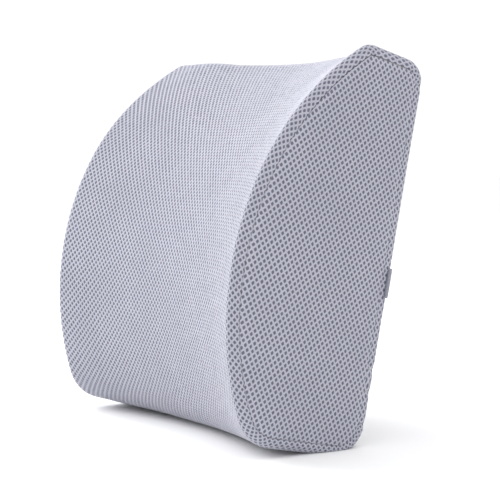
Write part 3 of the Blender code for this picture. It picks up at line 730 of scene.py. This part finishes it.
def side_knit(name, node, side, puff, seed):
    """A D-shaped side piece, cut with its knit a little askew."""
    line = side_outline()[::3]
    low, high = line.min(axis=0), line.max(axis=0)
    step_out, step_up = CELL_ACROSS / CELL_STEPS, CELL_UP / CELL_STEPS
    columns = int((high[0] - low[0] + 0.05) / step_out) + 2
    rows = int((high[1] - low[1] + 0.03) / step_up) + 3
    column, row = np.meshgrid(np.arange(columns), np.arange(rows))
    ahead, above = column * step_out, row * step_up
    out = low[0] - 0.035 + ahead * math.cos(SIDE_ROW_TURN) + above * math.sin(SIDE_COLUMN_TURN)
    up = low[1] - step_up + above * math.cos(SIDE_COLUMN_TURN) - ahead * math.sin(SIDE_ROW_TURN)
    points = np.stack([out, up], axis=-1).reshape(-1, 2)
    found, inside = nearest_on(line, points)
    held = (inside > 0.0003).reshape(rows, columns)
    kept = held[:-1, :-1] | held[:-1, 1:] | held[1:, 1:] | held[1:, :-1]
    points = np.where((inside > 0.0003)[:, None], points, found)
    depth = np.where(inside > 0.0003, hole_depth(column, row).ravel(), 0.0)
    distance = np.clip(inside, 0.0, None)
    corners = np.array(quads(rows, columns)).reshape(rows - 1, columns - 1, 4)[kept]
    used, faces = np.unique(corners, return_inverse=True)
    faces = faces.reshape(-1, 4)
    points, depth, distance = points[used], depth[used], distance[used]
    swell = puff * (1 - np.exp(-distance / 0.022)) * (0.8 + 0.2 * np.sin(points[:, 1] * 14))
    flat = placed(np.zeros(len(points)), points[:, 0], points[:, 1])
    swell = swell + 0.0007 * waves(flat, 0.10, seed) * ramp(distance, 0.0, 0.03)
    open_holes = 0.35 + 0.65 * ramp(distance, 0.001, 0.006)
    edge = CREST_HALF + EDGE_OUT
    x = edge + swell - seam_valley(distance) - HOLE_DEPTH * depth * open_holes
    outer = placed(side * x, points[:, 0], points[:, 1])
    cells = np.stack([column, row], axis=-1).reshape(-1, 2)[used] / CELL_STEPS
    mesh = mesh_from(name, outer, faces.tolist(), cells)
    piece = new_object(name, mesh)
    mesh_edit = bmesh.new()
    mesh_edit.from_mesh(mesh)
    bmesh.ops.remove_doubles(mesh_edit, verts=mesh_edit.verts, dist=0.00012)
    bmesh.ops.dissolve_degenerate(mesh_edit, edges=mesh_edit.edges, dist=0.00002)
    rim = [item for item in mesh_edit.edges if item.is_boundary]
    grown = bmesh.ops.extrude_edge_only(mesh_edit, edges=rim)
    inner_edges = [item for item in grown["geom"] if isinstance(item, bmesh.types.BMEdge)]
    for vertex in {v for item in inner_edges for v in item.verts}:
        vertex.co.x = side * (edge - COVER)
    bmesh.ops.holes_fill(mesh_edit, edges=inner_edges)
    mesh_edit.to_mesh(mesh)
    mesh_edit.free()
    return finish_cover(piece, node)


def build_cover():
    whole = CREST_HALF + ROLL_LENGTH
    slot_top = back_along(ZIP_LEVEL + ZIP_SLOT_HALF)
    slot_bottom = back_along(ZIP_LEVEL - ZIP_SLOT_HALF)
    tab_start = TAPE_HALF_LENGTH + GAP
    every = (-whole, whole)
    front, upper, lower = (0.0, SHELL_LENGTH), (SHELL_LENGTH + GAP, slot_top), (slot_bottom, MARKS[-1] - GAP)
    knit_panel("front_cover", "front_panel", front, every, 0.0010, 1, FRONT_CELL_UP, BOW)
    knit_panel("upper_back_cover", "back_upper_panel", upper, every, 0.0018, 2, strap=True)
    knit_panel("lower_back_cover", "back_lower_panel", lower, every, 0.0008, 3)
    for side, name in ((-1, "left"), (1, "right")):
        ends = (slot_top + GAP, slot_bottom - GAP)
        sides = sorted((side * tab_start, side * whole))
        knit_panel(f"{name}_zipper_end_cover", f"{name}_zipper_tab", ends, sides, 0.0002, 4)
        side_knit(f"{name}_side_cover", f"{name}_side_panel", side, 0.0028, 5)


# Foam and gel -----------------------------------------------------------------------------------

PAD = 0.0025
PAD_HALF_WIDTH = 0.112
PAD_HALF_SPAN = 0.36  # of the front arc
PAD_POWER = 8  # how square the pad's corners are
FOAM_INSET = COVER + GAP
FOAM_ROWS, FOAM_COLUMNS = 320, 121
GEL_STEPS = 72


def pad_reach(along, across):
    """0 in the middle of the gel pad, 1 on its edge and more outside it."""
    first, last = FRONT_ARC
    middle, span = (first + last) / 2, (last - first) * PAD_HALF_SPAN
    high = np.abs((along - middle) / span)[:, None]
    wide = np.abs(across / PAD_HALF_WIDTH)[None, :]
    return (high**PAD_POWER + wide**PAD_POWER) ** (1 / PAD_POWER)


def foam_core():
    """Moulded memory foam that fills the cover, with a shallow pocket for the gel under its front."""
    whole = CREST_HALF + ROLL_LENGTH
    along = np.linspace(0.0, MARKS[-1], FOAM_ROWS + 1)[:-1]
    across = np.linspace(-whole, whole, FOAM_COLUMNS)
    grid = skin(along, across, FOAM_INSET)
    pocket = PAD + 2 * GAP
    sunk = pocket * (1 - ramp(pad_reach(along, across), 1.0, 1.05))
    grid = grid - grid_normals(grid) * sunk[..., None]
    rows, columns = grid.shape[:2]
    faces = np.array(quads(rows + 1, columns)) % (rows * columns)
    left_cap = list(range(0, rows * columns, columns))
    right_cap = list(range(columns - 1, rows * columns, columns))[::-1]
    faces = faces.tolist() + [left_cap, right_cap]
    piece = new_object("moulded_foam_core", mesh_from("moulded_foam_core", grid.reshape(-1, 3), faces))
    finish_soft(piece, LOOKS["foam"], "foam_white", "foam_core")


def gel_pad():
    """A gel slab with rounded corners and edges, curved to lie in the foam's pocket."""
    count = GEL_STEPS
    line = np.sin(np.linspace(-math.pi / 2, math.pi / 2, count))
    high, wide = np.meshgrid(line, line, indexing="ij")
    most = np.maximum(np.abs(high), np.abs(wide))
    power = (np.abs(high) ** PAD_POWER + np.abs(wide) ** PAD_POWER) ** (1 / PAD_POWER)
    shrink = np.divide(most, power, out=np.ones_like(most), where=power > 0)
    first, last = FRONT_ARC
    along = (first + last) / 2 + high * shrink * (last - first) * PAD_HALF_SPAN
    across = wide * shrink * PAD_HALF_WIDTH
    thick = PAD / 2 * np.sqrt(np.clip(1 - ramp(most, 0.975, 1.0) ** 2, 0.0, 1.0))
    middle = COVER + 2 * GAP + PAD / 2
    layers = []
    for side in (1, -1):
        depth = middle - side * thick
        layer = np.empty((count, count, 3))
        for index in range(count):
            level = 1 - (across[:, index] / CREST_HALF) ** 2
            for row in range(count):
                point, normal = profile(along[row : row + 1, index], HOLLOW * level[row])
                spot = point - normal * depth[row, index]
                layer[row, index] = placed(across[row : row + 1, index], spot[:, 0], spot[:, 1])[0]
        layers.append(layer)
    points = np.concatenate([layer.reshape(-1, 3) for layer in layers])
    faces = quads(count, count) + quads(count, count, count * count, flip=True)
    piece = new_object("gel_slab", mesh_from("gel_slab", points, faces))
    mesh_edit = bmesh.new()
    mesh_edit.from_mesh(piece.data)
    bmesh.ops.remove_doubles(mesh_edit, verts=mesh_edit.verts, dist=0.00001)
    mesh_edit.to_mesh(piece.data)
    mesh_edit.free()
    finish_soft(piece, LOOKS["gel"], "gel_blue", "gel_pad")


def finish_soft(piece, look, slot, node):
    face_outward(piece.data)
    piece.data.materials.append(look)
    belongs(piece, "cushion", slot, node)


# Zipper -----------------------------------------------------------------------------------------

COIL_HALF_LENGTH = 0.134
COIL_PITCH = 0.0016
COIL_MIDDLE = 0.0005  # above the back
TAPE_LOW, TAPE_HIGH = -0.0017, -0.0009
BACK_FRAME = Matrix(
    (
        (1.0, 0.0, 0.0, 0.0),
        (0.0, OUT[1], UP[1], ORIGIN[1]),
        (0.0, OUT[2], UP[2], ORIGIN[2]),
        (0.0, 0.0, 0.0, 1.0),
    )
)


def start(kind, **settings):
    """Adds a primitive with nothing else selected."""
    bpy.ops.object.select_all(action="DESELECT")
    getattr(bpy.ops.mesh, kind)(**settings)
    return bpy.context.object


def apply_modifier(piece, kind, **settings):
    modifier = piece.modifiers.new(kind.title(), kind)
    for name, value in settings.items():
        setattr(modifier, name, value)
    bpy.ops.object.modifier_apply(modifier=modifier.name)


def place_on_back(piece):
    """Takes a piece modelled in the back's own frame to its place, with its transform applied."""
    bpy.ops.object.select_all(action="DESELECT")
    piece.select_set(True)
    bpy.context.view_layer.objects.active = piece
    bpy.ops.object.transform_apply(location=True, rotation=True, scale=True)
    piece.matrix_world = BACK_FRAME
    bpy.ops.object.transform_apply(location=True, rotation=True, scale=True)


def zipper_coil(side, name):
    """Loops of nylon wire round a cord, which stand half a pitch apart from those of the other side."""
    steps = int(2 * COIL_HALF_LENGTH / COIL_PITCH) - 1
    first = -COIL_HALF_LENGTH + COIL_PITCH * (0.5 if side > 0 else 1.0)
    loop_half, wire = 0.00135, 0.0003
    middle = ZIP_LEVEL + side * (loop_half - 0.0001)
    loop = start(
        "primitive_torus_add",
        major_segments=12,
        minor_segments=6,
        major_radius=0.0007,
        minor_radius=wire,
        rotation=(0.0, math.pi / 2, 0.0),
    )
    bpy.ops.object.transform_apply(location=False, rotation=True, scale=False)
    bpy.ops.object.mode_set(mode="EDIT")
    bpy.ops.mesh.select_all(action="SELECT")
    bpy.ops.transform.resize(value=(0.9, 1.0, loop_half / 0.001), center_override=(0.0, 0.0, 0.0))
    bpy.ops.transform.rotate(value=math.radians(9), orient_axis="Y", center_override=(0.0, 0.0, 0.0))
    bpy.ops.object.mode_set(mode="OBJECT")
    apply_modifier(
        loop,
        "ARRAY",
        count=steps,
        use_relative_offset=False,
        use_constant_offset=True,
        constant_offset_displace=(COIL_PITCH, 0.0, 0.0),
    )
    loop.location = (first, COIL_MIDDLE, middle)
    bpy.ops.object.transform_apply(location=True, rotation=True, scale=True)
    start(
        "primitive_cylinder_add",
        vertices=10,
        radius=0.00036,
        depth=2 * COIL_HALF_LENGTH,
        location=(0.0, COIL_MIDDLE, middle + side * 0.0002),
        rotation=(0.0, math.pi / 2, 0.0),
    )
    loop.select_set(True)
    bpy.context.view_layer.objects.active = loop
    bpy.ops.object.join()
    loop.name = f"{name}_coil_loops"
    bpy.ops.object.shade_smooth_by_angle(angle=math.radians(50))
    place_on_back(loop)
    loop.data.materials.append(LOOKS["coil"])
    belongs(loop, "cushion", "zipper_coil", f"zipper_{name}_coil")


def band(name, path, width, thick, level, edge=0.4):
    """A flat band along a path of (x, out) points in the back's frame, with rounded selvedges. Its UV map
    counts millimetres along the band and across it."""
    path = np.asarray(path, float)
    steps = np.linalg.norm(np.diff(path, axis=0), axis=1)
    length = np.concatenate([[0.0], np.cumsum(steps)])
    count = max(8, int(length[-1] / 0.0008))
    at = np.linspace(0.0, length[-1], count)
    line = np.stack([np.interp(at, length, path[:, axis]) for axis in (0, 1)], axis=-1)
    for _ in range(2):
        line[1:-1] = (line[:-2] + 2 * line[1:-1] + line[2:]) / 4
    heading = np.gradient(line, axis=0)
    heading /= np.linalg.norm(heading, axis=1, keepdims=True)
    normal = np.stack([-heading[:, 1], heading[:, 0]], axis=-1)
    around = 40
    angle = np.linspace(0.0, math.tau, around, endpoint=False)
    wide = np.sign(np.cos(angle)) * np.abs(np.cos(angle)) ** edge
    deep = np.sign(np.sin(angle)) * np.abs(np.sin(angle)) ** edge
    rings = line[:, None, :] + normal[:, None, :] * (deep * thick / 2)[None, :, None]
    up = np.broadcast_to(level + wide * width / 2, rings.shape[:2])
    points = (
        ORIGIN
        + rings[..., 0, None] * np.array([1.0, 0.0, 0.0])
        + rings[..., 1, None] * OUT
        + up[..., None] * UP
    )
    index = np.arange(count * around).reshape(count, around)
    after = np.roll(index, -1, axis=1)
    sides = np.stack([index[:-1], after[:-1], after[1:], index[1:]], axis=-1).reshape(-1, 4).tolist()
    caps = [index[0].tolist()[::-1], index[-1].tolist()]
    marks = np.stack([np.broadcast_to(at[:, None] * 1000, index.shape), (up - level) * 1000], axis=-1)
    mesh = mesh_from(name, points.reshape(-1, 3), sides + caps, marks.reshape(-1, 2))
    face_outward(mesh)
    return new_object(name, mesh)


def zipper():
    out = (TAPE_LOW + TAPE_HIGH) / 2
    path = [(-TAPE_HALF_LENGTH, out), (TAPE_HALF_LENGTH, out)]
    width = ZIP_SLOT_HALF - 1.5 * GAP
    for side, name in ((1, "upper"), (-1, "lower")):
        level = ZIP_LEVEL + side * (GAP / 2 + width / 2)
        tape = band(f"{name}_woven_tape", path, width, TAPE_HIGH - TAPE_LOW, level, edge=0.25)
        tape.data.materials.append(LOOKS["tape"])
        belongs(tape, "cushion", "zipper_tape", f"zipper_{name}_tape")
        zipper_coil(side, name)


# Strap ------------------------------------------------------------------------------------------

STRAP_THICK = 0.0015
STRAP_LIE = 0.0011
STRAP_UPPER = 0.0031
STRAP_RISE = 0.0003
LEFT_END_X, RIGHT_END_X = -0.062, 0.064
LOOP_START = 0.046
LOOP_SPREAD = 0.0025
PLUG_CLEARANCE = 0.0145
TAIL_LENGTH = 0.018
BAR_OUT = 0.0060
LOOP_RADIUS = 0.0015 * math.sqrt(2) + STRAP_THICK / 2 + GAP
SOCKET_BAR_X = -0.031
PLUG_BAR_X = 0.0215
ADJUSTER_X = 0.071
ADJUSTER_HALF = 0.0115
ADJUSTER_LOW, ADJUSTER_HIGH = 0.0060, 0.0084
GRIP_BAR_REACH = 0.0030
SLOT_OUTER = 0.0085


def round_bar(bar_x, side):
    """Half a turn round a buckle's bar, from under it to over it, on its left (-1) or right (1)."""
    turn = np.linspace(-math.pi / 2, math.pi / 2, 17)
    x, out = bar_x + side * LOOP_RADIUS * np.cos(turn), BAR_OUT + LOOP_RADIUS * np.sin(turn)
    return list(zip(x, out))


def over_edge(side):
    """From the side seam round the rolled edge onto the back, just off the cover."""
    turn = np.linspace(math.radians(72), 0.0, 13)
    x = side * (CREST_HALF + (EDGE_OUT + STRAP_LIE) * np.sin(turn))
    return list(zip(x, -BACK_ROLL + (BACK_ROLL + STRAP_LIE) * np.cos(turn)))


def straps():
    """Knitted elastic from both side seams, round the buckle's bars and through the adjuster."""
    left = over_edge(-1) + [(LEFT_END_X, STRAP_LIE), (-LOOP_START, STRAP_LIE + STRAP_RISE)]
    left += round_bar(SOCKET_BAR_X, 1)
    left += [(-LOOP_START, STRAP_UPPER + 3 * STRAP_RISE), (LEFT_END_X, STRAP_UPPER)]
    right = over_edge(1) + [(RIGHT_END_X, STRAP_LIE)]
    over, under = ADJUSTER_HIGH + STRAP_THICK / 2 + GAP, ADJUSTER_LOW - STRAP_THICK / 2 - GAP
    loop = [(ADJUSTER_X + TAIL_LENGTH, STRAP_UPPER), (PLUG_BAR_X + PLUG_CLEARANCE, STRAP_UPPER)]
    loop += round_bar(PLUG_BAR_X, -1)
    loop += [
        (PLUG_BAR_X + PLUG_CLEARANCE, under + LOOP_SPREAD),
        (ADJUSTER_X - ADJUSTER_HALF - 0.001, under),
        (ADJUSTER_X - SLOT_OUTER, under + STRAP_RISE),
        (ADJUSTER_X - GRIP_BAR_REACH, over),
        (ADJUSTER_X + GRIP_BAR_REACH, over),
        (ADJUSTER_X + SLOT_OUTER, under + STRAP_RISE),
        (ADJUSTER_X + ADJUSTER_HALF + 0.005, under),
    ]
    for name, path, body in (
        ("left_strap", left, "cushion"),
        ("right_strap", right, "cushion"),
        ("right_strap_loop", loop, "buckle_plug_end"),
    ):
        piece = band(f"{name}_elastic", path, STRAP_WIDTH, STRAP_THICK, STRAP_LEVEL, edge=0.3)
        piece.data.materials.append(LOOKS["elastic"])
        belongs(piece, body, "strap_elastic", name)


def dress(look, *nodes):
    """Gives CAD nodes that stay on show their real material."""
    for name in nodes:
        node = frame["nodes"][name]
        if not node.material_slots:
            node.data.materials.append(None)
        for place in node.material_slots:
            place.material = LOOKS[look]


build_cover()
foam_core()
gel_pad()
zipper()
straps()
dress("zinc", "zipper_slider", "zipper_pull_tab", "zipper_left_stop", "zipper_right_stop")
dress("acetal", "buckle_socket", "buckle_plug", "strap_adjuster")


# Camera, light and floor --------------------------------------------------------------------------

CAMERA_AZIMUTH = math.radians(57.11)
CAMERA_ELEVATION = math.radians(4.26)
CAMERA_DISTANCE = 1.4473
CAMERA_TARGET = Vector((0.0, 0.02155, 0.1572))
CAMERA_LENS = 114.66


def aim(item, place, target):
    item.location = place
    item.rotation_mode = "QUATERNION"
    item.rotation_quaternion = (Vector(target) - Vector(place)).to_track_quat("-Z", "Y")


def add_camera():
    camera = bpy.data.objects.new("camera", bpy.data.cameras.new("camera"))
    bpy.context.scene.collection.objects.link(camera)
    camera.data.sensor_width = 36.0
    camera.data.lens = CAMERA_LENS
    camera.data.clip_end = 20.0
    level = math.cos(CAMERA_ELEVATION)
    back = Vector(
        (
            math.sin(CAMERA_AZIMUTH) * level,
            -math.cos(CAMERA_AZIMUTH) * level,
            math.sin(CAMERA_ELEVATION),
        )
    )
    aim(camera, CAMERA_TARGET + back * CAMERA_DISTANCE, CAMERA_TARGET)
    bpy.context.scene.camera = camera


def add_softbox(name, place, size, power, target=(0.0, 0.0, 0.15)):
    light = bpy.data.lights.new(name, "AREA")
    light.shape = "DISK"
    light.size = size
    light.energy = power
    made = bpy.data.objects.new(name, light)
    bpy.context.scene.collection.objects.link(made)
    aim(made, place, target)


def add_studio():
    world = bpy.data.worlds.new("studio")
    world.use_nodes = True
    world.node_tree.nodes["Background"].inputs["Color"].default_value = (1.0, 1.0, 1.0, 1.0)
    world.node_tree.nodes["Background"].inputs["Strength"].default_value = 1.06
    bpy.context.scene.world = world
    bpy.context.scene.view_settings.view_transform = "Standard"
    add_softbox("key_softbox", (-1.6, -0.8, 0.95), 1.5, 40.0)
    add_softbox("top_softbox", (0.2, 0.3, 1.8), 1.2, 6.0)
    bpy.ops.object.select_all(action="DESELECT")
    bpy.ops.mesh.primitive_plane_add(size=12.0, location=(0, 0, 0))
    floor = bpy.context.object
    floor.name = "floor"
    made, tree, shader = new_material("matt_white_paper_sweep")
    grain = add(tree, "ShaderNodeTexNoise", {"Scale": 40.0, "Detail": 2.0}).outputs["Fac"]
    bump = add(tree, "ShaderNodeBump", {"Height": grain, "Distance": 0.0002, "Strength": 0.05})
    set_shader(tree, shader, Base_Color=(0.95, 0.95, 0.95, 1.0), Normal=bump.outputs[0], Roughness=0.9)
    floor.data.materials.append(made)


add_camera()
add_studio()
